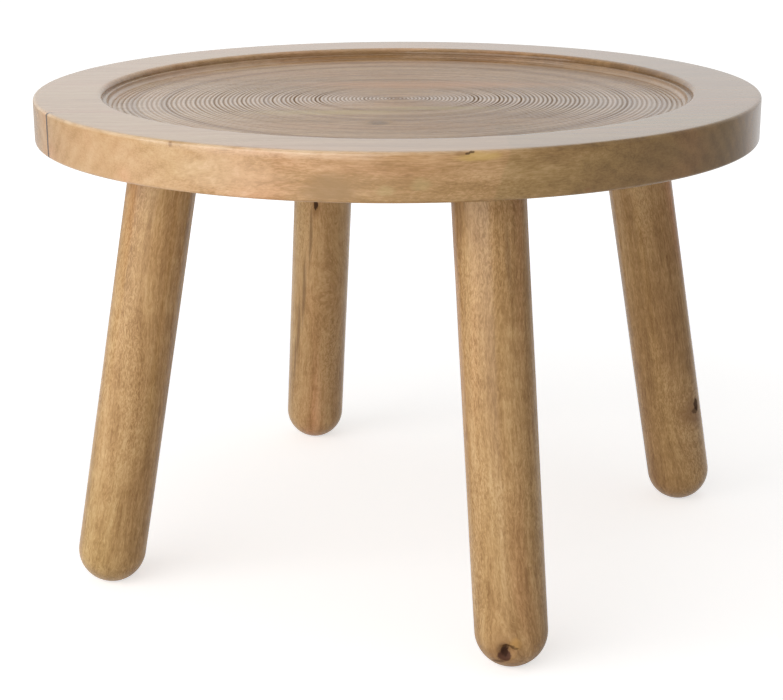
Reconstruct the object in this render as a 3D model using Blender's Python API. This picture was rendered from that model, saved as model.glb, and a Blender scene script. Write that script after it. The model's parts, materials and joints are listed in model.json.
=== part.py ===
"""Round side table: a dished, lathe-turned top of edge-glued boards on four splayed round legs.

Metres, +Z up. The origin is on the floor under the centre of the top. The boards run along X, and the
front of the table faces -Y. Each leg screws into the top: a hanger bolt in its end grain turns into a
threaded insert, until the leg's square-cut end seats in an angled spot face in the underside.
"""
import math

import bmesh
import bpy

# Overall sizes
TABLE_HEIGHT = 0.400
TOP_DIAMETER = 0.600
TOP_THICKNESS = 0.036

# Turned face of the top
RIM_WIDTH = 0.056
RECESS_DEPTH = 0.010
RECESS_COVE = 0.003
LEDGE_WIDTH = 0.0035
LEDGE_DEPTH = 0.005
LEDGE_ROUNDING = 0.001
RIM_EDGE_ROUNDING = 0.0045
OUTER_EDGE_ROUNDING = 0.0025

# Rings turned into the dish's floor, one groove for each pitch
RING_PITCH = 0.0058
RING_DEPTH = 0.0006
RING_MIDDLE_RADIUS = 0.004

# Edge-glued boards of the top, counted from the middle seam towards the front and the back
BOARD_WIDTH = 0.125
MIDDLE_SEAM_Y = -0.006
NARROWEST_STRIP = 0.020
GLUE_LINE = 0.0003

# Legs. Three are square to each other, and the left one is fitted by hand a little out of line.
LEG_DIAMETER = 0.056
LEG_SPLAY = math.radians(10.25)
FOOT_INSET = 0.0185
FRONT_LEG_AZIMUTH = math.radians(-72.0)
LEFT_LEG_TURN = math.radians(5.25)
LEFT_FOOT_FURTHER_IN = 0.015
FOOT_FLAT_DIAMETER = 0.012
SEAT_LEAST_DEPTH = 0.001

# Hanger bolts and threaded inserts
BOLT_DIAMETER = 0.008
BOLT_LENGTH_IN_LEG = 0.040
BOLT_POINT_LENGTH = 0.009
BOLT_END_CHAMFER = 0.001
INSERT_DIAMETER = 0.012
INSERT_CHAMFER = 0.001
WOOD_OVER_INSERT = 0.005
BOLT_SHORT_OF_INSERT = 0.0015

# Gap between pieces that touch
FIT_GAP = 0.0003

# Faceting
TOP_SEGMENTS = 48
LEG_SEGMENTS = 24
HARDWARE_SEGMENTS = 12
ROUNDING_STEPS = 2
FOOT_STEPS = 6
SMOOTH_ANGLE = math.radians(35.0)

# Finishes: base colour, roughness, metallic
TOP_FINISH = ((0.50, 0.36, 0.23), 0.42, 0.0)
LEG_FINISH = ((0.46, 0.29, 0.14), 0.45, 0.0)
BOLT_FINISH = ((0.62, 0.62, 0.60), 0.35, 1.0)
INSERT_FINISH = ((0.60, 0.50, 0.28), 0.40, 1.0)

# Worked out from the sizes above
TOP_RADIUS = TOP_DIAMETER / 2
RECESS_RADIUS = TOP_RADIUS - RIM_WIDTH
FLOOR_RADIUS = RECESS_RADIUS - LEDGE_WIDTH
FLOOR_Z = TABLE_HEIGHT - RECESS_DEPTH
RINGS_RADIUS = FLOOR_RADIUS - RECESS_COVE
UNDERSIDE_Z = TABLE_HEIGHT - TOP_THICKNESS
FOOT_CIRCLE_RADIUS = TOP_RADIUS - FOOT_INSET
LEG_RADIUS = LEG_DIAMETER / 2
BOLT_RADIUS = BOLT_DIAMETER / 2
INSERT_RADIUS = INSERT_DIAMETER / 2
FOOT_CENTRE_Z = math.sqrt(LEG_RADIUS ** 2 - (FOOT_FLAT_DIAMETER / 2) ** 2)
# The tilted seat is shallowest on its outer side, so its middle lies deeper by the tilt over one radius.
SEAT_Z = UNDERSIDE_Z + SEAT_LEAST_DEPTH + (LEG_RADIUS + FIT_GAP) * math.sin(LEG_SPLAY)
LEG_AXIS_LENGTH = (SEAT_Z - FOOT_CENTRE_Z) / math.cos(LEG_SPLAY)
INSERT_TOP_Z = FLOOR_Z - RING_DEPTH - WOOD_OVER_INSERT
INSERT_LENGTH = (INSERT_TOP_Z - SEAT_Z - INSERT_RADIUS * math.sin(LEG_SPLAY)) / math.cos(LEG_SPLAY)
LEG_NAMES = ("front", "right", "back", "left")


def clear_scene():
    """Remove whatever the scene holds."""
    for thing in list(bpy.data.objects):
        bpy.data.objects.remove(thing, do_unlink=True)


def finish_material(name, finish):
    """A plain material with the given base colour, roughness and metallic value."""
    colour, roughness, metallic = finish
    material = bpy.data.materials.new(name)
    material.use_nodes = True
    shader = material.node_tree.nodes["Principled BSDF"]
    shader.inputs["Base Color"].default_value = (*colour, 1.0)
    shader.inputs["Roughness"].default_value = roughness
    shader.inputs["Metallic"].default_value = metallic
    material.diffuse_color = (*colour, 1.0)
    return material


def arc(centre, radius, start_degrees, end_degrees, steps):
    """Points (radius, height) along an arc of a turned profile, both ends included."""
    points = []
    for step in range(steps + 1):
        angle = math.radians(start_degrees + (end_degrees - start_degrees) * step / steps)
        points.append((centre[0] + radius * math.cos(angle), centre[1] + radius * math.sin(angle)))
    return points


def turned_mesh(name, profile, segments):
    """A closed solid of revolution about Z. The profile starts and ends on the axis, or closes on itself."""
    mesh = bpy.data.meshes.new(name)
    work = bmesh.new()
    verts = [work.verts.new((radius, 0.0, height)) for radius, height in profile]
    edges = [work.edges.new(pair) for pair in zip(verts, verts[1:])]
    bmesh.ops.spin(work, geom=verts + edges, cent=(0, 0, 0), axis=(0, 0, 1),
                   angle=2 * math.pi, steps=segments, use_merge=True)
    bmesh.ops.remove_doubles(work, verts=work.verts, dist=1e-6)
    bmesh.ops.recalc_face_normals(work, faces=work.faces)
    work.to_mesh(mesh)
    work.free()
    mesh.shade_smooth()
    mesh.set_sharp_from_angle(angle=SMOOTH_ANGLE)
    return mesh


def box_mesh(name, low, high):
    """A box between two corners."""
    mesh = bpy.data.meshes.new(name)
    work = bmesh.new()
    bmesh.ops.create_cube(work, size=1.0)
    for vert in work.verts:
        for axis in range(3):
            vert.co[axis] = high[axis] if vert.co[axis] > 0 else low[axis]
    work.to_mesh(mesh)
    work.free()
    return mesh


def add_piece(name, mesh, material, parent=None):
    """One named piece of the table."""
    piece = bpy.data.objects.new(name, mesh)
    bpy.context.scene.collection.objects.link(piece)
    piece.parent = parent
    # The material sits on the object, because several pieces share one mesh.
    if not mesh.materials:
        mesh.materials.append(None)
    piece.material_slots[0].link = "OBJECT"
    piece.material_slots[0].material = material
    return piece


def add_cutter(name, mesh, parent=None):
    """A helper shape that only cuts other pieces."""
    cutter = bpy.data.objects.new(name, mesh)
    bpy.context.scene.collection.objects.link(cutter)
    cutter.parent = parent
    cutter.hide_render = True
    cutter.display_type = "WIRE"
    return cutter


def cut(piece, cutter, operation):
    """Cut the piece with a helper shape, or keep only what lies inside it."""
    boolean = piece.modifiers.new(f"{operation.lower()} {cutter.name}", "BOOLEAN")
    boolean.operation = operation
    boolean.object = cutter
    boolean.solver = "EXACT"


def ring_profile():
    """Half section of the dish's floor: a small flat middle, then ridges and grooves out to the wall."""
    count = max(1, round((RINGS_RADIUS - RING_MIDDLE_RADIUS) / RING_PITCH))
    pitch = (RINGS_RADIUS - RING_MIDDLE_RADIUS) / count
    points = [(0.0, FLOOR_Z)]
    for ring in range(count):
        ridge = RING_MIDDLE_RADIUS + ring * pitch
        points += [(ridge, FLOOR_Z), (ridge + pitch / 2, FLOOR_Z - RING_DEPTH)]
    return points


def top_profile():
    """Half section of the turned top, from the middle of the dish out over the rim to the underside."""
    ledge_z = TABLE_HEIGHT - LEDGE_DEPTH
    profile = ring_profile()
    profile += arc((RINGS_RADIUS, FLOOR_Z + RECESS_COVE), RECESS_COVE, -90, 0, ROUNDING_STEPS)
    profile += arc((FLOOR_RADIUS + LEDGE_ROUNDING, ledge_z - LEDGE_ROUNDING), LEDGE_ROUNDING, 180, 90,
                   ROUNDING_STEPS)
    profile.append((RECESS_RADIUS, ledge_z))
    profile += arc((RECESS_RADIUS + RIM_EDGE_ROUNDING, TABLE_HEIGHT - RIM_EDGE_ROUNDING),
                   RIM_EDGE_ROUNDING, 180, 90, ROUNDING_STEPS)
    profile += arc((TOP_RADIUS - OUTER_EDGE_ROUNDING, TABLE_HEIGHT - OUTER_EDGE_ROUNDING),
                   OUTER_EDGE_ROUNDING, 90, 0, ROUNDING_STEPS)
    profile += arc((TOP_RADIUS - OUTER_EDGE_ROUNDING, UNDERSIDE_Z + OUTER_EDGE_ROUNDING),
                   OUTER_EDGE_ROUNDING, 0, -90, ROUNDING_STEPS)
    profile.append((0.0, UNDERSIDE_Z))
    return profile


def leg_profile():
    """Half section of a leg about its own axis: seat end at height 0, bored for the bolt, round foot below."""
    bore = BOLT_RADIUS + FIT_GAP
    profile = [(0.0, -BOLT_LENGTH_IN_LEG - FIT_GAP), (bore, BOLT_POINT_LENGTH - BOLT_LENGTH_IN_LEG)]
    profile += [(bore, -FIT_GAP), (LEG_RADIUS, -FIT_GAP)]
    profile += arc((0.0, -LEG_AXIS_LENGTH), LEG_RADIUS, 0, -90, FOOT_STEPS)
    return profile


def bolt_profile():
    """Half section of a hanger bolt: a wood-screw point below, a chamfered machine end above."""
    end = INSERT_LENGTH - BOLT_SHORT_OF_INSERT
    return [(0.0, -BOLT_LENGTH_IN_LEG), (BOLT_RADIUS, BOLT_POINT_LENGTH - BOLT_LENGTH_IN_LEG),
            (BOLT_RADIUS, end - BOLT_END_CHAMFER), (BOLT_RADIUS - BOLT_END_CHAMFER, end), (0.0, end)]


def insert_profile():
    """Section of a threaded insert, open right through."""
    bore = BOLT_RADIUS + FIT_GAP
    ring = [(bore, 0.0), (INSERT_RADIUS, 0.0), (INSERT_RADIUS, INSERT_LENGTH - INSERT_CHAMFER),
            (INSERT_RADIUS - INSERT_CHAMFER, INSERT_LENGTH), (bore, INSERT_LENGTH)]
    return ring + ring[:1]


def socket_profile():
    """Half section of what is cut out of the top for one leg: the spot face and the insert's hole."""
    below = -TOP_THICKNESS
    socket = LEG_RADIUS + FIT_GAP
    hole = INSERT_RADIUS + FIT_GAP
    return [(0.0, INSERT_LENGTH + FIT_GAP), (hole, INSERT_LENGTH + FIT_GAP), (hole, 0.0),
            (socket, 0.0), (socket, below), (0.0, below)]


def board_spans():
    """Name of each board with the two Y positions that it lies between, from the middle seam outwards."""
    spans = []
    for side, outwards in (("front", -1), ("back", 1)):
        inner = MIDDLE_SEAM_Y
        count = 1
        while abs(inner + outwards * BOARD_WIDTH) < TOP_RADIUS - NARROWEST_STRIP:
            outer = inner + outwards * BOARD_WIDTH
            spans.append((f"top_board_{side}_{count}", inner, outer))
            inner = outer
            count += 1
        spans.append((f"top_board_{side}_{count}", inner, outwards * (TOP_RADIUS + TOP_THICKNESS)))
    return spans


def leg_station(side):
    """Empty at a leg's seat, its +Z pointing up along the leg's axis."""
    azimuth = FRONT_LEG_AZIMUTH + LEG_NAMES.index(side) * 2 * math.pi / len(LEG_NAMES)
    seat_radius = FOOT_CIRCLE_RADIUS - SEAT_Z * math.tan(LEG_SPLAY)
    if side == "left":
        azimuth += LEFT_LEG_TURN
        seat_radius -= LEFT_FOOT_FURTHER_IN
    station = bpy.data.objects.new(f"station_{side}", None)
    bpy.context.scene.collection.objects.link(station)
    station.location = (seat_radius * math.cos(azimuth), seat_radius * math.sin(azimuth), SEAT_Z)
    station.rotation_euler = (0.0, -LEG_SPLAY, azimuth)
    return station


def build_legs():
    """Legs with their bolts and inserts. Returns the cutters for their sockets in the top."""
    leg_mesh = turned_mesh("leg", leg_profile(), LEG_SEGMENTS)
    bolt_mesh = turned_mesh("hanger_bolt", bolt_profile(), HARDWARE_SEGMENTS)
    insert_mesh = turned_mesh("threaded_insert", insert_profile(), HARDWARE_SEGMENTS)
    socket_mesh = turned_mesh("leg_socket", socket_profile(), LEG_SEGMENTS)
    floor = add_cutter("floor", box_mesh("floor", (-TOP_DIAMETER, -TOP_DIAMETER, -LEG_DIAMETER),
                                         (TOP_DIAMETER, TOP_DIAMETER, 0.0)))
    sockets = []
    for side in LEG_NAMES:
        station = leg_station(side)
        leg = add_piece(f"leg_{side}", leg_mesh, finish_material(f"leg {side} wood", LEG_FINISH), station)
        cut(leg, floor, "DIFFERENCE")
        bolt_steel = finish_material(f"bolt {side} steel", BOLT_FINISH)
        add_piece(f"hanger_bolt_{side}", bolt_mesh, bolt_steel, station)
        insert_brass = finish_material(f"insert {side} brass", INSERT_FINISH)
        add_piece(f"threaded_insert_{side}", insert_mesh, insert_brass, station)
        sockets.append(add_cutter(f"socket_{side}", socket_mesh, station))
    return sockets


def build_top(sockets):
    """Boards of the top: each keeps its own strip of the one turned shape, less the legs' sockets."""
    blank = turned_mesh("turned_top", top_profile(), TOP_SEGMENTS)
    reach = TOP_RADIUS + TOP_THICKNESS
    for name, *seams in board_spans():
        strip = box_mesh(f"strip of {name}",
                         (-reach, min(seams) + GLUE_LINE / 2, UNDERSIDE_Z - TOP_THICKNESS),
                         (reach, max(seams) - GLUE_LINE / 2, TABLE_HEIGHT + TOP_THICKNESS))
        board = add_piece(name, blank, finish_material(f"{name} wood", TOP_FINISH))
        cut(board, add_cutter(f"strip of {name}", strip), "INTERSECT")
        for socket in sockets:
            cut(board, socket, "DIFFERENCE")


def main():
    clear_scene()
    build_top(build_legs())


main()
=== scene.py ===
"""Looks of a low round side table: a dished, ring-turned top of edge-glued mango boards on four splayed
round legs, under a satin lacquer. Metres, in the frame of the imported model, +Z up, front towards -Y."""
import json
import math

import bmesh
import bpy
from mathutils import Euler, Matrix, Vector


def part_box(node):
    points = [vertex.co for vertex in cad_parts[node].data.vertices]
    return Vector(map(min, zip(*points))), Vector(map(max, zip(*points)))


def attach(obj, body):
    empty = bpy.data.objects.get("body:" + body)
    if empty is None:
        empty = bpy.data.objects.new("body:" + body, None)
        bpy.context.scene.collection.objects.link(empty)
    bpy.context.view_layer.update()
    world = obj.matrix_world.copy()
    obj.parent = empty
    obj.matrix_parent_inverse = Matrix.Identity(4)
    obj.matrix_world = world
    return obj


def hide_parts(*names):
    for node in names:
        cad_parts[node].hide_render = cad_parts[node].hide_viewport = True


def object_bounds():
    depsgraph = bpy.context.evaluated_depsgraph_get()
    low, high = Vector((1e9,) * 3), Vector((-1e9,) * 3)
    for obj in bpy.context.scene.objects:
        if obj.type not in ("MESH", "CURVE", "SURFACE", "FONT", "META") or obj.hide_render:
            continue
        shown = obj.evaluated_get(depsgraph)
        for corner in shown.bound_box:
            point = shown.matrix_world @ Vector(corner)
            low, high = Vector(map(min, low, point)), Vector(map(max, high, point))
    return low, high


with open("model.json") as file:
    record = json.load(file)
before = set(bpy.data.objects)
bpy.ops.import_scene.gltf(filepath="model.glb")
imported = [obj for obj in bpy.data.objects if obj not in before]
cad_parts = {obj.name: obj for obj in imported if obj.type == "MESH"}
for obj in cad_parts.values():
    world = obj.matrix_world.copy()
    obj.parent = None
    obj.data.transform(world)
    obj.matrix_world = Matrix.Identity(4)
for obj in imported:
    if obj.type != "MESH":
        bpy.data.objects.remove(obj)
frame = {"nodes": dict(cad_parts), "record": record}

CAD_LOW, CAD_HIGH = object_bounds()

# ---- Sizes ----

# Overall, from the frame
TABLE_HEIGHT = CAD_HIGH.z
TOP_RADIUS = CAD_HIGH.x
UNDERSIDE_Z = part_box("top_board_back_1")[0].z

# Turned face of the top
RIM_TO_WALL = 0.056
DISH_DEPTH = 0.010
LEDGE_WIDTH = 0.0035
LEDGE_DEPTH = 0.005
LEDGE_ROUNDING = 0.001
DISH_COVE = 0.003
RIM_EDGE_ROUNDING = 0.0045
OUTER_EDGE_ROUNDING = 0.0025
RECESS_RADIUS = TOP_RADIUS - RIM_TO_WALL
FLOOR_RADIUS = RECESS_RADIUS - LEDGE_WIDTH
LEDGE_Z = TABLE_HEIGHT - LEDGE_DEPTH
FLOOR_Z = TABLE_HEIGHT - DISH_DEPTH

# Rings turned into the dish's floor: their pitch widens from the middle to the wall
RINGS_RADIUS = FLOOR_RADIUS - DISH_COVE
RING_PITCH_MIDDLE = 0.0032
RING_PITCH_WALL = 0.0042
RING_DEPTH = 0.00035

# Boards
SEAM_GAP = 0.00004
GLUE_LINE = 0.0003
LEFT_SEAM_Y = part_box("top_board_front_1")[0].y

# Legs and the sockets that they seat in
LEG_RADIUS = 0.028
LEG_SPLAY = math.radians(10.25)
LEG_UNEVENNESS = 0.0006
FIT_GAP = 0.0003
SEAT_LEAST_DEPTH = 0.001
FOOT_FLAT_RADIUS = 0.006
BOLT_RADIUS = 0.004
BOLT_LENGTH_IN_LEG = 0.040
BOLT_POINT_LENGTH = 0.009
INSERT_RADIUS = 0.006
FOOT_CENTRE_Z = math.sqrt(LEG_RADIUS ** 2 - FOOT_FLAT_RADIUS ** 2)
SEAT_Z = UNDERSIDE_Z + SEAT_LEAST_DEPTH + (LEG_RADIUS + FIT_GAP) * math.sin(LEG_SPLAY)
LEG_AXIS_LENGTH = (SEAT_Z - FOOT_CENTRE_Z) / math.cos(LEG_SPLAY)
FEET = {mount["name"][5:]: Vector(mount["pos_m"]) for mount in frame["record"]["mounts"]
        if mount["name"].startswith("foot_")}
SOCKETS = {"top_board_front_2": "front", "top_board_back_1": "right", "top_board_back_2": "back",
           "top_board_front_1": "left"}

# Pit where a knot fell out of the front foot
FRONT_PIT = {"Pit centre": (0.0802, -0.2899, 0.0212), "Pit radius": 0.0085, "Pit depth": 0.0045}
NO_PIT = {"Pit centre": (0.0, 0.0, 1.0), "Pit radius": 0.001, "Pit depth": 0.0}

# Fineness of the turned pieces
TOP_SEGMENTS = 288
LEG_SEGMENTS = 176
SOCKET_SEGMENTS = 96
RING_STEPS = 10
RIM_STEPS = 8
EDGE_STEPS = 6
LEG_STEPS = 250
FOOT_STEPS = 56
ROUNDING_STEPS = 8
SHARP_ANGLE = math.radians(25.0)

# ---- Woods ----

# Tones from dark to pale, as place on the ramp and colour
HONEY = ((0.02, (0.26, 0.138, 0.048)), (0.34, (0.435, 0.245, 0.096)), (0.56, (0.580, 0.348, 0.166)),
         (0.95, (0.74, 0.510, 0.300)))
TAN = ((0.02, (0.25, 0.128, 0.046)), (0.34, (0.405, 0.228, 0.090)), (0.56, (0.530, 0.320, 0.138)),
       (0.95, (0.70, 0.470, 0.240)))

# Tones, lacquer, and the weight of each part of the figure. Level is the tone that the figure plays about,
# the drift is painted light and shade along the piece's length: how much paler the wood is painted along it,
# darker towards the right of the top, which lies in shade, and paler at the top of the right leg, and curl is
# how far its fine grain wanders.
TOP_WOOD = {
    "tones": HONEY, "coat_roughness": 0.16, "coat_index": 1.62,
    "level": 0.585, "drift": -0.46, "curl": 0.0010,
    "streaks": 0.8, "fibres": 0.4, "flecks": 0.15, "dashes": 0.15, "pores": 0.05,
    "ripple": 0.1, "patches": 0.4, "layers": 0.08, "feathers": 0.10, "rosy": 0.36, "olive": 0.18}
LEG_WOOD = {
    "tones": TAN, "coat_roughness": 0.25, "coat_index": 1.38,
    "drift": 0.0, "curl": 0.0036,
    "streaks": 0.6, "fibres": 0.5, "flecks": 0.31, "dashes": 0.20, "pores": 0.06,
    "ripple": 0.3, "patches": 0.5, "layers": 0.08, "feathers": 0.08, "rosy": 0.4, "olive": 0.35}
# The legs' levels are partly their own tones and partly painted light: the back leg is painted paler against
# the shade under the top, and the right leg darker, as it lies in shade
LEG_WOODS = {
    "front": LEG_WOOD | {"level": 0.46},
    "right": LEG_WOOD | {"level": 0.40, "rosy": 0.7, "olive": 0.15, "drift": 0.6},
    "back": LEG_WOOD | {"level": 0.61, "rosy": 0.8, "olive": 0.15},
    "left": LEG_WOOD | {"level": 0.51}}

# How each piece lay in its log: the heart of the tree, across and up, and the shift along the log
BOARD_CUTS = {
    "top_board_front_3": ((-0.30, 0.28), 1.17),
    "top_board_front_2": ((-0.30, 0.28), 1.17),
    "top_board_front_1": ((-0.02, 0.25), 2.43),
    "top_board_back_1": ((0.03, 0.30), 3.71),
    "top_board_back_2": ((0.20, 0.22), 4.93),
    "top_board_back_3": ((0.36, 0.25), 5.59)}
LEG_CUTS = {
    "front": ((0.06, -0.04), 0.7),
    "right": ((0.06, -0.01), 2.6),
    "back": ((0.06, 0.02), 4.5),
    "left": ((0.06, 0.05), 6.4)}

# Boards sawn from one plank, with a step in tone that slants across it through the place at X and Z
FRONT_PLANK = ("top_board_front_2", "top_board_front_3")
STEP_SLANT = 0.32
STEP_X, STEP_Z = 0.0722, 0.3815

# Colours of marks and stains, and of painted shade, painted sheen and a painted highlight
DARK_HEART = (0.045, 0.022, 0.014)
RED_HEART = (0.085, 0.036, 0.028)
BARK = (0.20, 0.105, 0.045)
RUST = (0.30, 0.15, 0.055)
AMBER = (0.60, 0.33, 0.10)
STRAW = (0.66, 0.44, 0.13)
SAGE = (0.52, 0.39, 0.17)
ROSE = (0.62, 0.33, 0.17)
UMBER = (0.36, 0.21, 0.085)
SAPWOOD = (0.76, 0.54, 0.34)
GLUE_BROWN = (0.075, 0.04, 0.02)
# Brown of the painted shade in the ring grooves and in the dish's corners
GROOVE_BROWN = (0.17, 0.105, 0.055)
# Dark honey of the painted shade on the dish's wall
WALL_BROWN = HONEY[0][1]
BAND_BROWN = (0.27, 0.14, 0.065)
BAND_PALE = (0.66, 0.44, 0.30)
# Pale laid over the dish's floor and the rim: painted sheen
FACE_PALE = (0.62, 0.48, 0.35)
# Pale laid on the wall below the ledge at the left and right ends: painted sheen
LEDGE_PALE = (0.68, 0.53, 0.41)
# Pale of the painted highlight along the outer upper edge
HIGHLIGHT_PALE = (0.84, 0.64, 0.42)

# Tints that multiply the wood's colour
ROSY_TINT = (1.16, 0.90, 0.94)
OLIVE_TINT = (0.90, 1.05, 0.84)
STEP_TINT = (0.86, 0.90, 0.84)

# Knots that the grain bends round, as centre and reach: along, across and up in the piece's grain
KNOTS = {
    "leg_front": [((-0.3583, -0.0133, -0.0225), 0.032)],
    "leg_right": [((-0.2813, -0.0237, -0.0150), 0.050)],
    "leg_back": [((-0.2000, 0.0020, 0.0280), 0.040)],
    "top_board_front_1": [((-0.014, -0.1228, 0.390), 0.030)]}

# Marks in the wood, as centre and reach in the piece's grain, colour, strength, and whether the lacquer
# is lost there
GLOSSY, DULL = False, True
MARKS = {
    "leg_front": [
        ((-0.0640, 0.0020, -0.0279), (0.0340, 0.0032, 0.0050), BARK, 0.40, GLOSSY),
        ((-0.3610, -0.0160, -0.0195), (0.024, 0.020, 0.022), RUST, 0.60, GLOSSY),
        ((-0.3590, -0.0135, -0.0215), (0.0135, 0.0095, 0.0150), RUST, 0.60, GLOSSY),
        ((-0.3520, -0.0074, -0.0268), (0.0065, 0.0060, 0.0080), AMBER, 0.65, GLOSSY),
        ((-0.3541, -0.0103, -0.0245), (0.0014, 0.0034, 0.0060), DARK_HEART, 0.60, DULL),
        ((-0.3558, -0.0080, -0.0258), (0.0014, 0.0036, 0.0060), DARK_HEART, 0.55, DULL),
        ((-0.3675, -0.0165, -0.0122), (0.0018, 0.0060, 0.0080), DARK_HEART, 0.50, DULL),
        ((-0.3612, -0.0134, -0.0205), (0.0078, 0.0052, 0.0150), RED_HEART, 0.88, DULL),
        ((-0.3572, -0.0128, -0.0205), (0.0075, 0.0030, 0.0150), DARK_HEART, 0.75, DULL)],
    "leg_right": [
        ((-0.2850, -0.0258, -0.0100), (0.020, 0.016, 0.018), RUST, 0.75, GLOSSY),
        ((-0.2800, -0.0228, -0.0162), (0.0075, 0.0042, 0.0042), DARK_HEART, 0.80, DULL),
        ((-0.2850, -0.0243, -0.0138), (0.0038, 0.0040, 0.0060), DARK_HEART, 0.60, DULL)],
    "leg_back": [
        ((-0.1120, 0.0139, 0.0243), (0.016, 0.0048, 0.0048), RUST, 0.65, GLOSSY),
        ((-0.1098, 0.0139, 0.0243), (0.0075, 0.0024, 0.0024), DARK_HEART, 0.90, DULL),
        ((-0.1430, 0.0174, 0.0220), (0.0440, 0.0022, 0.0022), BARK, 0.62, GLOSSY),
        ((-0.2030, 0.0213, 0.0182), (0.0520, 0.0030, 0.0030), BARK, 0.62, GLOSSY),
        ((-0.2440, 0.0242, 0.0142), (0.0460, 0.0028, 0.0028), BARK, 0.62, GLOSSY),
        ((-0.2780, 0.0259, 0.0106), (0.0360, 0.0024, 0.0024), BARK, 0.55, GLOSSY)],
    "top_board_front_3": [
        ((-0.1150, -0.2770, 0.3830), (0.065, 0.040, 0.0180), SAPWOOD, 0.26, GLOSSY),
        ((-0.0450, -0.2964, 0.3745), (0.026, 0.020, 0.0135), UMBER, 0.75, GLOSSY),
        ((0.0163, -0.2996, 0.3775), (0.010, 0.010, 0.0060), SAGE, 0.40, GLOSSY),
        ((-0.0077, -0.2999, 0.3735), (0.009, 0.010, 0.0050), SAGE, 0.40, GLOSSY),
        ((0.0080, -0.2999, 0.3840), (0.0050, 0.006, 0.0016), RUST, 0.45, GLOSSY),
        ((0.0560, -0.2945, 0.3962), (0.024, 0.012, 0.0045), STRAW, 0.55, GLOSSY),
        ((0.0440, -0.2968, 0.3985), (0.0080, 0.006, 0.0020), RUST, 0.55, GLOSSY),
        ((0.0482, -0.2961, 0.3982), (0.0022, 0.0040, 0.0009), DARK_HEART, 0.75, DULL),
        ((0.0510, -0.2956, 0.3991), (0.0026, 0.0040, 0.0009), DARK_HEART, 0.75, DULL),
        ((0.1339, -0.2685, 0.3672), (0.0034, 0.0034, 0.0024), RUST, 0.80, GLOSSY)],
    "top_board_front_2": [
        ((-0.1600, -0.2538, 0.3985), (0.0020, 0.0022, 0.0040), RUST, 0.80, GLOSSY)],
    "top_board_front_1": [
        ((-0.0540, -0.0700, 0.390), (0.085, 0.016, 0.010), SAGE, 0.55, GLOSSY),
        ((0.0350, -0.0510, 0.390), (0.070, 0.012, 0.010), SAGE, 0.55, GLOSSY),
        ((-0.0140, -0.1228, 0.390), (0.022, 0.026, 0.010), UMBER, 0.70, GLOSSY),
        ((-0.0140, -0.1228, 0.390), (0.011, 0.015, 0.010), DARK_HEART, 0.42, GLOSSY)],
    "top_board_back_1": [
        ((0.0350, 0.0760, 0.390), (0.160, 0.030, 0.010), ROSE, 0.50, GLOSSY)]}

# Corners of the dish's wall that are darkened with painted shade, as radius, height, reach, strength, and how
# far the painted shade fades at the left and right ends
WALL_CORNERS = (
    (RECESS_RADIUS, LEDGE_Z, 0.0050, 0.52, 0.10),
    (FLOOR_RADIUS + 0.0003, LEDGE_Z - 0.0003, 0.0020, 0.45, 0.60),
    (FLOOR_RADIUS, FLOOR_Z, 0.0036, 0.55, 0.95))


# ---- Node trees ----

class Socket:
    """An output of a node. Arithmetic on it adds Math nodes to its tree."""

    def __init__(self, nodes, socket):
        self.nodes = nodes
        self.socket = socket

    def __getitem__(self, name):
        return Socket(self.nodes, self.socket.node.outputs[name])

    def math(self, operation, *values):
        return self.nodes.add("ShaderNodeMath", {"operation": operation}, dict(enumerate(values)))

    def __add__(self, other):
        return self.math("ADD", self, other)

    def __radd__(self, other):
        return self.math("ADD", other, self)

    def __sub__(self, other):
        return self.math("SUBTRACT", self, other)

    def __rsub__(self, other):
        return self.math("SUBTRACT", other, self)

    def __mul__(self, other):
        return self.math("MULTIPLY", self, other)

    def __rmul__(self, other):
        return self.math("MULTIPLY", other, self)

    def __truediv__(self, other):
        return self.math("DIVIDE", self, other)

    def __pow__(self, other):
        return self.math("POWER", self, other)

    def __lt__(self, other):
        return self.math("LESS_THAN", self, other)

    def __abs__(self):
        return self.math("ABSOLUTE", self)

    def sqrt(self):
        return self.math("SQRT", self)

    def log(self):
        return self.math("LOGARITHM", self, math.e)

    def sine(self):
        return self.math("SINE", self)

    def cosine(self):
        return self.math("COSINE", self)

    def most(self, other):
        return self.math("MAXIMUM", self, other)

    def rise(self, low, high):
        """0 below low, 1 above high, smooth between them. Falls instead where low is above high."""
        ends = (low, high, 0.0, 1.0) if low < high else (high, low, 1.0, 0.0)
        return self.nodes.add("ShaderNodeMapRange", {"interpolation_type": "SMOOTHSTEP"},
                              {0: self, 1: ends[0], 2: ends[1], 3: ends[2], 4: ends[3]})


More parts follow.
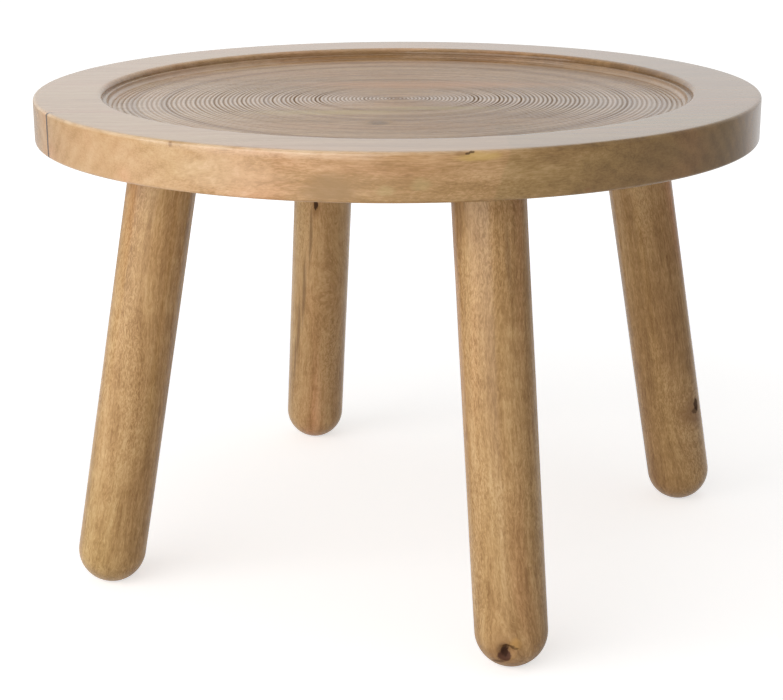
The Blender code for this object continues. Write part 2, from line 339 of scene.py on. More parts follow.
class Nodes:
    """Adds nodes to a tree, one at a time."""

    def __init__(self, tree):
        self.tree = tree
        tree.nodes.clear()

    def add(self, kind, settings=None, inputs=None):
        """A node of the given type: its settings first, then the values or links of its sockets."""
        node = self.tree.nodes.new(kind)
        for key, value in (settings or {}).items():
            if key == "stops":
                self.set_stops(node.color_ramp, value)
            else:
                setattr(node, key, value)
        for key, value in (inputs or {}).items():
            if isinstance(value, Socket):
                self.tree.links.new(value.socket, node.inputs[key])
            else:
                node.inputs[key].default_value = value
        shown = [socket for socket in node.outputs if socket.enabled]
        return Socket(self, shown[0]) if shown else None

    @staticmethod
    def set_stops(ramp, stops):
        """Give a colour ramp its (place, colour) stops."""
        while len(ramp.elements) < len(stops):
            ramp.elements.new(1.0)
        for element, (place, colour) in zip(ramp.elements, stops):
            element.position = place
            element.color = (*colour, 1.0)

    def axes(self, place):
        """A place taken apart, for its X, Y and Z."""
        return self.add("ShaderNodeSeparateXYZ", {}, {0: place})

    def vector(self, operation, first, second):
        return self.add("ShaderNodeVectorMath", {"operation": operation}, {0: first, 1: second})

    def length(self, vector):
        return self.add("ShaderNodeVectorMath", {"operation": "LENGTH"}, {0: vector})["Value"]

    def noise(self, place, stretch, detail=2.0, roughness=0.5):
        """Noise from 0 to 1 with the given number of features to the metre along each axis."""
        return self.add("ShaderNodeTexNoise", {},
                        {"Vector": self.vector("MULTIPLY", place, stretch), "Scale": 1.0,
                         "Detail": detail, "Roughness": roughness})

    def noise_along(self, way, detail, roughness=0.5):
        """Noise from 0 to 1 along one number, about one feature to each unit."""
        return self.add("ShaderNodeTexNoise", {"noise_dimensions": "1D"},
                        {"W": way, "Scale": 1.0, "Detail": detail, "Roughness": roughness})

    def shaken(self, place, stretch, reach, detail=2.0):
        """A place moved about by noise, by up to reach along each axis."""
        shake = self.vector("SUBTRACT", self.noise(place, stretch, detail)["Color"], (0.5, 0.5, 0.5))
        return self.vector("ADD", place, self.vector("MULTIPLY", shake, reach))

    def mix(self, factor, first, second, blend="MIX"):
        """One colour over another."""
        colours = [value if isinstance(value, Socket) else (*value, 1.0) for value in (first, second)]
        return self.add("ShaderNodeMix", {"data_type": "RGBA", "blend_type": blend},
                        {0: factor, 6: colours[0], 7: colours[1]})


def diagonal(first, second):
    """Length of the diagonal over two sides at right angles."""
    return (first ** 2 + second ** 2).sqrt()


def new_material(name):
    """An empty material and its nodes."""
    material = bpy.data.materials.new(name)
    material.use_nodes = True
    return material, Nodes(material.node_tree)


# ---- Finishes ----

def bent_round(nodes, grain, knots):
    """Grain that bends round the given knots, each a centre and a reach."""
    for centre, reach in knots:
        apart = nodes.vector("SUBTRACT", grain, centre)
        pull = nodes.length(nodes.vector("MULTIPLY", apart, (0.6, 1.0, 1.0))).rise(reach, 0.0) * -0.75
        squeeze = nodes.add("ShaderNodeCombineXYZ", {}, {"Y": pull, "Z": pull})
        grain = nodes.add("ShaderNodeVectorMath", {"operation": "MULTIPLY_ADD"},
                          {0: apart, 1: squeeze, 2: grain})
    return grain


def growth_layers(nodes, wavy, pith, thickness=0.012):
    """Dark late wood of each year, in layers round the heart of the tree."""
    axes = nodes.axes(wavy)
    from_pith = diagonal(axes["Y"] - pith[0], axes["Z"] - pith[1])
    layer = from_pith / thickness + 0.8 * nodes.noise(wavy, (1.5, 30.0, 30.0), 1.0)
    return (0.5 + 0.5 * (layer * (2 * math.pi)).sine()) ** 1.5


def slanting_feathers(nodes, grain, slant=math.radians(35.0)):
    """Short pale lines that slant over the grain in some places."""
    slanted = nodes.add("ShaderNodeMapping", {}, {"Vector": grain, "Rotation": (0.0, slant, 0.0)})
    slanted = nodes.shaken(slanted, (20.0,) * 3, (0.012,) * 3)
    feathers = nodes.noise(slanted, (45.0, 380.0, 380.0)).rise(0.52, 0.66)
    return feathers * nodes.noise(grain, (12.0,) * 3, 1.0).rise(0.50, 0.62)


def stepped_tone(nodes, bent, colour):
    """A step in tone that slants across the wood, a little ragged."""
    axes = nodes.axes(nodes.shaken(bent, (70.0,) * 3, (0.004,) * 3))
    beyond = (axes["X"] - STEP_SLANT * axes["Z"] - (STEP_X - STEP_SLANT * STEP_Z)).rise(-0.0015, 0.0015)
    return nodes.mix(beyond, colour, STEP_TINT, "MULTIPLY")


def marked(nodes, board, marks, colour, coat):
    """Knots, stains and streaks over the wood. The lacquer is lost on the dull ones."""
    for centre, reach, tint, strength, dull in marks:
        apart = nodes.vector("DIVIDE", nodes.vector("SUBTRACT", board, centre), reach)
        apart = nodes.length(nodes.shaken(apart, (1.4,) * 3, (1.1,) * 3, 3.0))
        mark = apart.rise(1.0, 0.65 if dull else 0.30) * strength
        colour = nodes.mix(mark, colour, tint)
        if dull:
            coat = coat * (1 - mark)
    return colour, coat


def mango_wood(name, node, place, cut, wood):
    """Lacquered mango wood for a node, its grain along the X axis of place."""
    pith, shift = cut
    on_top = node in BOARD_CUTS
    material, nodes = new_material(name)
    here = nodes.add("ShaderNodeTexCoord")["Object"]
    board = nodes.add("ShaderNodeMapping", {"vector_type": "TEXTURE"},
                      {"Vector": here, "Location": place.translation, "Rotation": place.to_euler()})
    bent = bent_round(nodes, board, KNOTS.get(node, ()))
    grain = nodes.vector("ADD", bent, (shift, 0.0, 0.0))
    wavy = nodes.shaken(grain, (2.2, 5.0, 5.0), (0.0, 0.045, 0.045))
    wavy = nodes.shaken(wavy, (22.0, 45.0, 45.0), (0.0, 0.0028, 0.0028), 1.0)
    curled = nodes.shaken(wavy, (150.0, 300.0, 300.0), (0.0, wood["curl"], wood["curl"]), 1.0)

    # Fine figure: streaks and fibres, with flecks in some places and dashes in the others
    streaks = nodes.noise(wavy, (6.5, 75.0, 75.0), 3.0, 0.55)
    fibres = nodes.noise(wavy, (24.0, 330.0, 330.0), 2.0, 0.6)
    flecks = nodes.noise(curled, (230.0, 1050.0, 1050.0), 2.0, 0.65)
    dashes = nodes.noise(curled, (70.0, 480.0, 950.0), 2.0, 0.6)
    flecked = 0.40 + 0.9 * nodes.noise(grain, (7.0, 24.0, 24.0), 1.0).rise(0.40, 0.62)
    fine = (wood["streaks"] * (streaks - 0.5) + wood["fibres"] * (fibres - 0.5)
            + wood["flecks"] * flecked * (flecks.rise(0.34, 0.66) - 0.5)
            + wood["dashes"] * (1.5 - flecked) * (dashes.rise(0.34, 0.66) - 0.5))
    if on_top:
        fine = fine * grain_contrast(nodes, here)

    # Broad figure, and pores
    ripple = nodes.noise(nodes.shaken(grain, (18.0,) * 3, (0.03,) * 3), (85.0, 40.0, 40.0), 1.0)
    patches = nodes.noise(grain, (7.0, 15.0, 15.0))
    pores = nodes.noise(wavy, (60.0, 620.0, 620.0), 1.0).rise(0.60, 0.72)
    light = (wood["level"] + fine + wood["ripple"] * (ripple - 0.5) + wood["patches"] * (patches - 0.5)
             - wood["layers"] * (growth_layers(nodes, wavy, pith) - 0.4) - wood["pores"] * pores
             + wood["feathers"] * slanting_feathers(nodes, grain)
             # Painted light and shade along the piece's length
             + wood["drift"] * nodes.axes(board)["X"].rise(-0.22, 0.30))

    tints = nodes.noise(wavy, (2.2, 26.0, 26.0))
    colour = nodes.add("ShaderNodeValToRGB", {"stops": wood["tones"]}, {"Fac": light})
    colour = nodes.mix(tints.rise(0.50, 0.72) * wood["rosy"], colour, ROSY_TINT, "MULTIPLY")
    colour = nodes.mix(tints.rise(0.50, 0.28) * wood["olive"], colour, OLIVE_TINT, "MULTIPLY")
    rough = 0.46 - 0.16 * (flecks - 0.5) + 0.12 * pores
    coat = 1.0
    if node in FRONT_PLANK:
        colour = stepped_tone(nodes, bent, colour)
    if on_top:
        colour, rough, coat = turned_face(nodes, here, colour, rough)
        colour = glue_seam(nodes, here, colour)
    colour, coat = marked(nodes, board, MARKS.get(node, ()), colour, coat)

    height = 0.8 * flecks + 0.3 * fibres - 0.5 * pores
    bump = nodes.add("ShaderNodeBump", {}, {"Strength": 0.5, "Distance": 0.00015, "Height": height})
    shader = nodes.add("ShaderNodeBsdfPrincipled", {},
                       {"Base Color": colour, "Roughness": rough, "Specular IOR Level": 0.0, "Normal": bump,
                        "Coat Weight": coat, "Coat Roughness": wood["coat_roughness"],
                        "Coat IOR": wood["coat_index"]})
    nodes.add("ShaderNodeOutputMaterial", {}, {"Surface": shader})
    return material


def top_places(nodes, here):
    """Axes and radius of a place on the top, and whether it is above the underside, on the turned face."""
    axes = nodes.axes(here)
    return axes, diagonal(axes["X"], axes["Y"]), axes["Z"].rise(FLOOR_Z - 0.005, FLOOR_Z - 0.002)


def grain_contrast(nodes, here):
    """How strongly the grain of the top shows: more in the dish, less on the rim and across the ends."""
    axes, radius, above = top_places(nodes, here)
    in_dish = radius.rise(RECESS_RADIUS + 0.003, RECESS_RADIUS) * above
    at_edge = radius.rise(TOP_RADIUS - 0.004, TOP_RADIUS - 0.001)
    return 0.5 + 0.8 * in_dish + (0.5 - 0.5 * abs(axes["X"]).rise(0.08, 0.24)) * at_edge


def turned_face(nodes, here, colour, rough):
    """Colour laid over the turned top: a paler dish floor and rim that are painted sheen, bands in the dish,
    grooves, wall and corners darkened with painted shade, and a painted highlight along the outer edge.
    Returns colour, roughness and how much lacquer is left."""
    axes, radius, above = top_places(nodes, here)
    on_floor = radius.rise(RINGS_RADIUS, RINGS_RADIUS - 0.002) * above
    on_rim = (radius.rise(RECESS_RADIUS + 0.003, RECESS_RADIUS + 0.006)
              * radius.rise(TOP_RADIUS - 0.002, TOP_RADIUS - 0.005) * above)
    # The dish's floor and the rim are painted paler: painted sheen
    colour = nodes.mix(0.28 * on_floor + 0.15 * on_rim, colour, FACE_PALE)
    bands = nodes.noise_along(radius * 70.0, 3.0, 0.65)
    colour = nodes.mix(0.48 * on_floor * bands.rise(0.50, 0.66), colour, BAND_BROWN)
    colour = nodes.mix(0.32 * on_floor * bands.rise(0.48, 0.34), colour, BAND_PALE)
    groove = nodes.add("ShaderNodeAttribute", {"attribute_name": "groove"})["Fac"]
    groove = groove * (0.74 + 0.70 * radius.rise(0.22, 0.14))
    # The grooves are darkened with painted shade, more of it towards the middle
    colour = nodes.mix(0.38 * groove, colour, GROOVE_BROWN)
    colour, wall = painted_wall_shade(nodes, axes, radius, above, colour)
    colour = arris_highlight(nodes, here, axes, radius, colour)
    return colour, rough + 0.2 * groove, (1 - 0.50 * groove) * (1 - 0.35 * wall)


def painted_wall_shade(nodes, axes, radius, above, colour):
    """Painted shade on the dish's wall and in its corners, less of it at the left and right ends, where the
    wall below its ledge is painted pale as painted sheen. Returns the colour, and how strongly the wall is
    painted in shade."""
    ends = axes["X"].rise(-0.06, -0.20) + 0.7 * axes["X"].rise(0.08, 0.21)
    for corner_radius, corner_z, reach, strength, fading in WALL_CORNERS:
        apart = diagonal(radius - corner_radius, axes["Z"] - corner_z)
        # Painted shade in each corner of the wall
        corner_shade = apart.rise(reach, 0.0008) * (strength - strength * fading * ends)
        colour = nodes.mix(corner_shade, colour, GROOVE_BROWN)
    wall = (radius.rise(RINGS_RADIUS - 0.0005, RINGS_RADIUS + 0.0010)
            * radius.rise(RECESS_RADIUS + 0.0045, RECESS_RADIUS + 0.0030)
            * axes["Z"].rise(TABLE_HEIGHT - 0.0002, TABLE_HEIGHT - 0.0030) * (1 - 0.8 * ends) * above)
    # The wall itself is darkened with painted shade
    colour = nodes.mix(0.34 * wall, colour, WALL_BROWN)
    below_ledge = (radius.rise(RINGS_RADIUS - 0.001, RINGS_RADIUS + 0.001)
                   * radius.rise(RECESS_RADIUS + 0.002, RECESS_RADIUS + 0.001)
                   * axes["Z"].rise(LEDGE_Z, LEDGE_Z - 0.001))
    # The wall below the ledge is painted pale at the left and right ends: painted sheen
    return nodes.mix(0.65 * below_ledge * ends * above, colour, LEDGE_PALE), wall


def arris_highlight(nodes, here, axes, radius, colour):
    """A painted highlight along the outer upper edge, on the left, towards the key light."""
    patchiness = nodes.noise(here, (60.0,) * 3).rise(0.35, 0.65)
    arris = (radius.rise(TOP_RADIUS - 0.0030, TOP_RADIUS - 0.0008)
             * axes["Z"].rise(TABLE_HEIGHT - 0.0030, TABLE_HEIGHT - 0.0008))
    towards_key = axes["X"].rise(0.12, -0.08)
    # A painted highlight on the arris, on the left where the key light falls
    return nodes.mix(arris * towards_key * (0.20 + 0.4 * patchiness), colour, HIGHLIGHT_PALE)


def glue_seam(nodes, here, colour):
    """A glue line that has darkened where the left edge is handled, and fades over the rim."""
    axes = nodes.axes(here)
    wander = 0.0012 * (nodes.noise(here, (0.0, 0.0, 120.0)) - 0.5)
    line = abs(axes["Y"] - LEFT_SEAM_Y + wander).rise(0.0026, 0.0009)
    line = line * (0.12 + 0.88 * axes["X"].rise(-0.262, -0.269)) * axes["X"].rise(-0.20, -0.24)
    return nodes.mix(0.95 * line, colour, GLUE_BROWN)


def machined_metal(name, light, shade, rough):
    """Plain metal with fine marks from the machine that cut it."""
    material, nodes = new_material(name)
    here = nodes.add("ShaderNodeTexCoord")["Object"]
    marks = nodes.noise(here, (40.0, 40.0, 900.0), 3.0, 0.6)
    stains = nodes.noise(here, (180.0,) * 3, 3.0, 0.6).rise(0.5, 0.75)
    colour = nodes.mix(0.6 * stains + 0.25 * marks, light, shade)
    bump = nodes.add("ShaderNodeBump", {}, {"Strength": 0.4, "Distance": 0.00006, "Height": marks})
    shader = nodes.add("ShaderNodeBsdfPrincipled", {},
                       {"Base Color": colour, "Metallic": 1.0, "Roughness": rough + 0.2 * marks,
                        "Normal": bump})
    nodes.add("ShaderNodeOutputMaterial", {}, {"Surface": shader})
    return material


# ---- Turned shapes ----

def arc(centre, radius, start_degrees, end_degrees, steps):
    """Points (radius, height) along an arc of a turned section, both ends included."""
    points = []
    for step in range(steps + 1):
        angle = math.radians(start_degrees + (end_degrees - start_degrees) * step / steps)
        points.append((centre[0] + radius * math.cos(angle), centre[1] + radius * math.sin(angle)))
    return points


def run(start, end, steps):
    """Points along a straight line of a turned section, both ends left out."""
    return [tuple(a + (b - a) * step / steps for a, b in zip(start, end)) for step in range(1, steps)]


def turned(section, segments):
    """A closed solid turned about Z, from a section that runs outwards and down from the axis, and back."""
    turns = [(math.cos(2 * math.pi * turn / segments), math.sin(2 * math.pi * turn / segments))
             for turn in range(segments)]
    first, *rows, last = section
    points = [(radius * along, radius * across, height) for radius, height in rows for along, across in turns]
    top, bottom = len(points), len(points) + 1
    points += [(0.0, 0.0, first[1]), (0.0, 0.0, last[1])]
    faces = []
    for turn in range(segments):
        beside = (turn + 1) % segments
        faces.append((top, turn, beside))
        for inner in range(0, top - segments, segments):
            outer = inner + segments
            faces.append((inner + turn, outer + turn, outer + beside, inner + beside))
        faces.append((top - segments + turn, bottom, top - segments + beside))
    mesh = bpy.data.meshes.new("turned")
    mesh.from_pydata(points, [], faces)
    work = bmesh.new()
    work.from_mesh(mesh)
    bpy.data.meshes.remove(mesh)
    return work


def trim(work, point, away):
    """Cut off what lies beyond a plane, and close the cut."""
    geom = [*work.verts, *work.edges, *work.faces]
    made = bmesh.ops.bisect_plane(work, geom=geom, dist=1e-7, plane_co=point, plane_no=away, clear_outer=True)
    rim = [edge for edge in made["geom_cut"] if isinstance(edge, bmesh.types.BMEdge) and edge.is_boundary]
    bmesh.ops.edgeloop_fill(work, edges=rim)


def mesh_from(name, work):
    """A smooth mesh whose real corners stay sharp."""
    mesh = bpy.data.meshes.new(name)
    work.to_mesh(mesh)
    work.free()
    mesh.shade_smooth()
    mesh.set_sharp_from_angle(angle=SHARP_ANGLE)
    return mesh


def place_object(name, data):
    thing = bpy.data.objects.new(name, data)
    bpy.context.scene.collection.objects.link(thing)
    return thing


def settle(piece):
    """Turn a piece with modifiers into a plain mesh."""
    evaluated = piece.evaluated_get(bpy.context.evaluated_depsgraph_get())
    old = piece.data
    new = bpy.data.meshes.new_from_object(evaluated)
    piece.modifiers.clear()
    piece.data = new
    new.name = piece.name
    bpy.data.meshes.remove(old)


def cut_out(piece, cutter):
    """Take a helper shape out of a piece, for good."""
    boolean = piece.modifiers.new("cut", "BOOLEAN")
    boolean.operation = "DIFFERENCE"
    boolean.solver = "EXACT"
    boolean.object = cutter
    settle(piece)
    bpy.data.objects.remove(cutter, do_unlink=True)


# ---- Geometry nodes ----

def new_shaping(name, inputs):
    """A geometry node tree with named inputs. Returns the tree, its nodes and its group input."""
    tree = bpy.data.node_groups.new(name, "GeometryNodeTree")
    tree.interface.new_socket("Geometry", in_out="INPUT", socket_type="NodeSocketGeometry")
    for title, kind in inputs:
        tree.interface.new_socket(title, in_out="INPUT", socket_type=f"NodeSocket{kind}")
    tree.interface.new_socket("Geometry", in_out="OUTPUT", socket_type="NodeSocketGeometry")
    nodes = Nodes(tree)
    return tree, nodes, nodes.add("NodeGroupInput")


def end_shaping(nodes, geometry, material):
    """Give the shaped geometry its material and hand it out."""
    geometry = nodes.add("GeometryNodeRealizeInstances", {}, {"Geometry": geometry})
    geometry = nodes.add("GeometryNodeSetMaterial", {}, {"Geometry": geometry, "Material": material})
    nodes.add("NodeGroupOutput", {}, {0: geometry})


def apply_shaping(piece, tree, values):
    """Run a geometry node tree on a piece with the given inputs, and keep the result."""
    modifier = piece.modifiers.new(tree.name, "NODES")
    modifier.node_group = tree
    for item in tree.interface.items_tree:
        if item.in_out == "INPUT" and item.name in values:
            modifier[item.identifier] = values[item.name]
    settle(piece)


def ring_turning():
    """Turns rings into the dish's floor: rounded ridges with a narrow groove between each two. Keeps how dark
    each groove is painted, as painted shade, in an attribute for the wood."""
    tree, nodes, given = new_shaping("ring_turning", [
        ("Pitch at middle", "Float"), ("Pitch at wall", "Float"), ("Depth", "Float"),
        ("Rings radius", "Float"), ("Floor height", "Float"), ("Material", "Material")])
    place = nodes.add("GeometryNodeInputPosition")
    axes = nodes.axes(place)
    radius = diagonal(axes["X"], axes["Y"])
    growth = (given["Pitch at wall"] - given["Pitch at middle"]) / given["Rings radius"]
    count = (1 + growth * radius / given["Pitch at middle"]).log() / growth
    wave = 0.5 - 0.5 * (count * (2 * math.pi)).cosine()
    on_floor = (abs(axes["Z"] - given["Floor height"]) < 0.0001) * (radius < given["Rings radius"])
    patchiness = 0.75 + 0.5 * nodes.noise(place, (14.0, 14.0, 0.0), 1.0)
    ring_hand = 0.55 + 0.9 * nodes.noise_along(count * 0.9, 1.0)
    groups = nodes.noise_along(count * 0.33 + 7.0, 2.0).rise(0.52, 0.70)
    # How dark each groove is painted: painted shade, uneven over the floor, from ring to ring and in groups
    # of rings
    groove_shade = patchiness * (ring_hand - 0.05 + 0.55 * groups)
    depth = given["Depth"] * patchiness * ring_hand
    drop = nodes.add("ShaderNodeCombineXYZ", {}, {"Z": -1 * wave ** 2.0 * on_floor * depth})
    shaped = nodes.add("GeometryNodeStoreNamedAttribute", {"data_type": "FLOAT", "domain": "POINT"},
                       {"Geometry": given, "Name": "groove", "Value": wave ** 1.3 * on_floor * groove_shade})
    shaped = nodes.add("GeometryNodeSetPosition", {}, {"Geometry": shaped, "Offset": drop})
    end_shaping(nodes, shaped, given["Material"])
    return tree


def hand_sanding():
    """Leaves a turned leg slightly uneven, as hand sanding does, with one pit where a knot fell out."""
    tree, nodes, given = new_shaping("hand_sanding", [
        ("Unevenness", "Float"), ("Pit centre", "Vector"), ("Pit radius", "Float"), ("Pit depth", "Float"),
        ("Material", "Material")])
    place = nodes.add("GeometryNodeInputPosition")
    normal = nodes.add("GeometryNodeInputNormal")
    waves = nodes.noise(place, (22.0, 22.0, 9.0), 1.0) - 0.5
    apart = nodes.length(nodes.vector("SUBTRACT", place, given["Pit centre"]))
    pit = (apart / given["Pit radius"]).rise(1.0, 0.3)
    ragged = 0.6 + 0.8 * nodes.noise(place, (420.0,) * 3)
    standing = nodes.axes(place)["Z"].rise(0.002, 0.012)
    move = waves * given["Unevenness"] * standing - pit * ragged * given["Pit depth"]
    offset = nodes.add("ShaderNodeVectorMath", {"operation": "SCALE"}, {0: normal, "Scale": move})
    shaped = nodes.add("GeometryNodeSetPosition", {}, {"Geometry": given, "Offset": offset})
    end_shaping(nodes, shaped, given["Material"])
    return tree


# ---- Pieces ----

def add_to_object(piece, node):
    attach(piece, "root")
    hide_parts(node)


def top_section():
    """Half section of the turned top, from the middle of the dish out over the rim to the underside."""
    growth = (RING_PITCH_WALL - RING_PITCH_MIDDLE) / RINGS_RADIUS
    ring_count = math.log(1 + growth * RINGS_RADIUS / RING_PITCH_MIDDLE) / growth
    steps = round(ring_count * RING_STEPS)
    outer = TOP_RADIUS - OUTER_EDGE_ROUNDING
    section = [(RING_PITCH_MIDDLE * (math.exp(growth * ring_count * step / steps) - 1) / growth, FLOOR_Z)
               for step in range(steps)]
    section += arc((RINGS_RADIUS, FLOOR_Z + DISH_COVE), DISH_COVE, -90, 0, ROUNDING_STEPS)
    section += arc((FLOOR_RADIUS + LEDGE_ROUNDING, LEDGE_Z - LEDGE_ROUNDING), LEDGE_ROUNDING, 180, 90,
                   ROUNDING_STEPS)
    section.append((RECESS_RADIUS, LEDGE_Z))
    section += arc((RECESS_RADIUS + RIM_EDGE_ROUNDING, TABLE_HEIGHT - RIM_EDGE_ROUNDING), RIM_EDGE_ROUNDING,
                   180, 90, ROUNDING_STEPS)
    section += run(section[-1], (outer, TABLE_HEIGHT), RIM_STEPS)
    section += arc((outer, TABLE_HEIGHT - OUTER_EDGE_ROUNDING), OUTER_EDGE_ROUNDING, 90, 0, ROUNDING_STEPS)
    section += run(section[-1], (TOP_RADIUS, UNDERSIDE_Z + OUTER_EDGE_ROUNDING), EDGE_STEPS)
    section += arc((outer, UNDERSIDE_Z + OUTER_EDGE_ROUNDING), OUTER_EDGE_ROUNDING, 0, -90, ROUNDING_STEPS)
    section.append((0.0, UNDERSIDE_Z))
    return section


def leg_place(side):
    """Matrix of a leg's seat: +Z up along the leg's axis, as in the solid."""
    foot = FEET[side]
    azimuth = math.atan2(foot.y, foot.x)
    reach = foot.xy.length - (SEAT_Z - FOOT_CENTRE_Z) * math.tan(LEG_SPLAY)
    seat = Vector((reach * math.cos(azimuth), reach * math.sin(azimuth), SEAT_Z))
    return Matrix.Translation(seat) @ Euler((0.0, -LEG_SPLAY, azimuth)).to_matrix().to_4x4()


def leg_socket(side):
    """Helper shape of the seat and the insert's hole that are cut into the underside for a leg."""
    insert_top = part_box(f"threaded_insert_{side}")[1].z
    hole = INSERT_RADIUS + FIT_GAP
    seat = LEG_RADIUS + FIT_GAP
    length = (insert_top - SEAT_Z) / math.cos(LEG_SPLAY)
    below = -2 * (SEAT_Z - UNDERSIDE_Z) - 0.01
    work = turned([(0.0, length), (hole, length), (hole, 0.0), (seat, 0.0), (seat, below), (0.0, below)],
                  SOCKET_SEGMENTS)
    bmesh.ops.transform(work, matrix=leg_place(side), verts=work.verts)
    return place_object(f"socket_{side}", mesh_from(f"socket_{side}", work))


def make_boards():
    """Boards of the top, each its own strip of the one turned shape."""
    tree = ring_turning()
    blank = turned(top_section(), TOP_SEGMENTS)
    spare = (GLUE_LINE - SEAM_GAP) / 2
    for node, cut in BOARD_CUTS.items():
        low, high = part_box(node)
        board = blank.copy()
        if high.y < TOP_RADIUS - GLUE_LINE:
            trim(board, (0.0, high.y + spare, 0.0), (0.0, 1.0, 0.0))
        if low.y > GLUE_LINE - TOP_RADIUS:
            trim(board, (0.0, low.y - spare, 0.0), (0.0, -1.0, 0.0))
        piece = place_object(f"board_{node[10:]}", mesh_from(node, board))
        if node in SOCKETS:
            cut_out(piece, leg_socket(SOCKETS[node]))
        finish = mango_wood(f"wood of {node[4:]}", node, Matrix.Identity(4), cut, TOP_WOOD)
        apply_shaping(piece, tree, {
            "Pitch at middle": RING_PITCH_MIDDLE, "Pitch at wall": RING_PITCH_WALL, "Depth": RING_DEPTH,
            "Rings radius": RINGS_RADIUS, "Floor height": FLOOR_Z, "Material": finish})
        add_to_object(piece, node)
    blank.free()


def make_legs():
    """Turned legs with round feet, each sanded flat where it stands."""
    tree = hand_sanding()
    bore = BOLT_RADIUS + FIT_GAP
    section = [(0.0, -BOLT_LENGTH_IN_LEG - FIT_GAP), (bore, BOLT_POINT_LENGTH - BOLT_LENGTH_IN_LEG),
               (bore, -FIT_GAP), (LEG_RADIUS, -FIT_GAP)]
    section += run(section[-1], (LEG_RADIUS, -LEG_AXIS_LENGTH), LEG_STEPS)
    section += arc((0.0, -LEG_AXIS_LENGTH), LEG_RADIUS, 0, -90, FOOT_STEPS)
    grain_down_leg = Matrix(((0, 0, -1), (0, 1, 0), (1, 0, 0))).to_4x4()
    for side in FEET:
        node = f"leg_{side}"
        work = turned(section, LEG_SEGMENTS)
        bmesh.ops.transform(work, matrix=leg_place(side), verts=work.verts)
        trim(work, (0.0, 0.0, 0.0), (0.0, 0.0, -1.0))
        piece = place_object(f"turned_leg_{side}", mesh_from(node, work))
        finish = mango_wood(f"wood of {side} leg", node, leg_place(side) @ grain_down_leg, LEG_CUTS[side],
                            LEG_WOODS[side])
        pit = FRONT_PIT if side == "front" else NO_PIT
        apply_shaping(piece, tree, {"Unevenness": LEG_UNEVENNESS, "Material": finish} | pit)
        add_to_object(piece, node)


def finish_hardware():
    """Metal on the bolts and inserts, which show as the solids they are."""
    zinc = machined_metal("zinc plated steel", (0.66, 0.66, 0.64), (0.40, 0.40, 0.39), 0.30)
    brass = machined_metal("machined brass", (0.68, 0.53, 0.25), (0.42, 0.30, 0.12), 0.28)
    for side in FEET:
        frame["nodes"][f"hanger_bolt_{side}"].material_slots[0].material = zinc
        frame["nodes"][f"threaded_insert_{side}"].material_slots[0].material = brass


# ---- Studio ----

WHITE = (1.0, 1.0, 1.0, 1.0)
SOFT_WHITE = (1.0, 0.985, 0.965, 1.0)
PAPER_GREY = (0.80, 0.80, 0.80, 1.0)
FLOOR_REACH = 20.0

# Camera, fitted to the outline in the photograph
SENSOR_WIDTH = 36.0
FOCAL_LENGTH_TO_WIDTH = 1824.8 / 783.0
CAMERA_PLACE = (0.0, -1.5271, 0.6282)
CAMERA_TURN = math.radians(0.199)
CAMERA_UP_FROM_NADIR = math.radians(90.0 - 16.719)
CAMERA_ROLL = math.radians(-0.197)


def shown_white(nodes, in_gloss):
    """How far a ray sees the white of the backdrop: fully from the camera or through glass."""
    path = nodes.add("ShaderNodeLightPath")
    return path["Is Camera Ray"].most(path["Is Glossy Ray"] * in_gloss).most(path["Is Transmission Ray"])


def studio_floor():
    """A white floor: it shows as white, and keeps the table's shadow. In gloss it is whitest under the table
    and behind it."""
    mesh = bpy.data.meshes.new("studio_floor")
    corners = ((-1, -1), (1, -1), (1, 1), (-1, 1))
    mesh.from_pydata([(x * FLOOR_REACH, y * FLOOR_REACH, 0.0) for x, y in corners], [], [(0, 1, 2, 3)])
    material, nodes = new_material("white studio paper")
    axes = nodes.axes(nodes.add("ShaderNodeTexCoord")["Object"])
    near = axes["Y"].rise(-0.45, 0.0) * axes["Y"].rise(1.4, 0.8) * abs(axes["X"]).rise(1.1, 0.5)
    far = (axes["Y"] - 0.6 * abs(axes["X"])).rise(-0.4, 1.2) * (0.17 + 0.34 * axes["X"].rise(-0.5, 0.5))
    seen = shown_white(nodes, 0.10 + 0.45 * near + far)
    paper = nodes.add("ShaderNodeBsdfDiffuse", {}, {"Color": PAPER_GREY})
    by_table, away = (nodes.add("ShaderNodeEmission", {}, {"Color": WHITE, "Strength": strength})
                      for strength in (0.60, 0.85))
    apart = diagonal(axes["X"], axes["Y"]).rise(0.45, 1.3)
    glow = nodes.add("ShaderNodeMixShader", {}, {0: apart, 1: by_table, 2: away})
    lit = nodes.add("ShaderNodeAddShader", {}, {0: glow, 1: paper})
    surface = nodes.add("ShaderNodeMixShader", {}, {0: seen, 1: paper, 2: lit})
    nodes.add("ShaderNodeOutputMaterial", {}, {"Surface": surface})
    mesh.materials.append(material)
    floor = place_object("studio_floor", mesh)


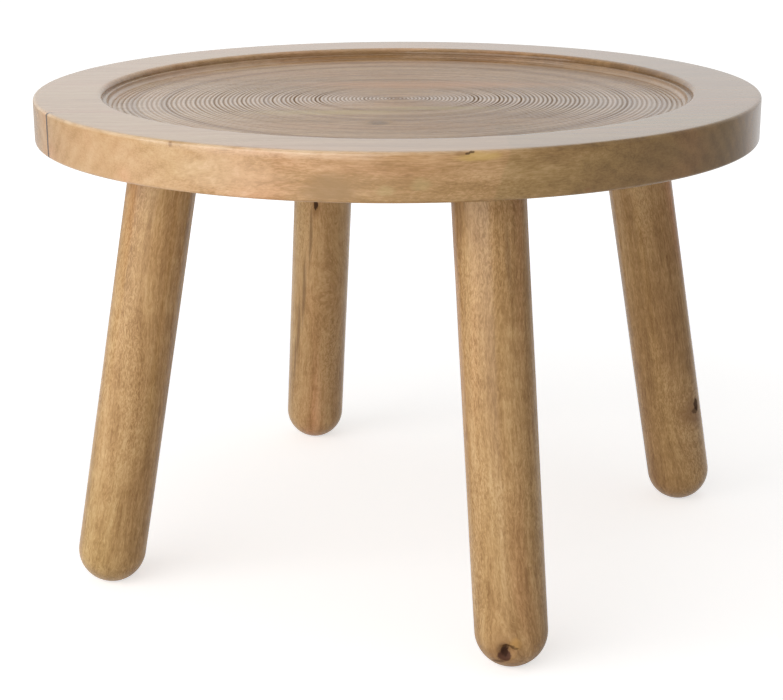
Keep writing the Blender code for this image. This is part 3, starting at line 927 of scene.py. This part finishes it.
def studio_world():
    """White all round where it is seen directly, and behind the table in gloss. As light it is soft, and
    brightest at the horizon."""
    world = bpy.data.worlds.new("studio")
    bpy.context.scene.world = world
    world.use_nodes = True
    nodes = Nodes(world.node_tree)
    towards = nodes.axes(nodes.add("ShaderNodeTexCoord")["Generated"])
    behind = (towards["Y"] - 0.6 * abs(towards["X"])).rise(-0.2, 0.6)
    seen = shown_white(nodes, 0.2 + 0.8 * behind * (0.78 + 0.22 * towards["Z"].rise(0.10, 0.19)))
    strength = 0.29 + 0.15 * (1 - towards["Z"].most(0.0)) ** 2
    soft = nodes.add("ShaderNodeBackground", {}, {"Color": SOFT_WHITE, "Strength": strength})
    white = nodes.add("ShaderNodeBackground", {}, {"Color": WHITE, "Strength": 1.0})
    surface = nodes.add("ShaderNodeMixShader", {}, {0: seen, 1: soft, 2: white})
    nodes.add("ShaderNodeOutputWorld", {}, {"Surface": surface})


def soft_box(name, place, target, width, height, watts):
    """A soft lamp that faces the table and isn't seen itself."""
    lamp = bpy.data.lights.new(name, "AREA")
    lamp.shape = "RECTANGLE"
    lamp.size = width
    lamp.size_y = height
    lamp.energy = watts
    box = place_object(name, lamp)
    box.location = place
    box.rotation_euler = (Vector(target) - Vector(place)).to_track_quat("-Z", "Y").to_euler()
    box.visible_camera = False


def studio_camera():
    """The photograph's own view."""
    data = bpy.data.cameras.new("camera")
    data.sensor_fit = "HORIZONTAL"
    data.sensor_width = SENSOR_WIDTH
    data.lens = SENSOR_WIDTH * FOCAL_LENGTH_TO_WIDTH
    camera = place_object("camera", data)
    camera.matrix_world = (Matrix.Translation(CAMERA_PLACE)
                           @ Matrix.Rotation(CAMERA_TURN, 4, "Z")
                           @ Matrix.Rotation(CAMERA_UP_FROM_NADIR, 4, "X")
                           @ Matrix.Rotation(CAMERA_ROLL, 4, "Z"))
    bpy.context.scene.camera = camera


make_boards()
make_legs()
finish_hardware()
studio_floor()
studio_world()
soft_box("key_left", (-1.27, -1.43, 0.85), (0.0, 0.0, 0.30), 3.1, 1.5, 34.5)
soft_box("overhead", (0.0, 0.1, 2.0), (0.0, 0.0, 0.4), 1.6, 1.6, 6.0)
studio_camera()
bpy.context.scene.view_settings.view_transform = "Standard"
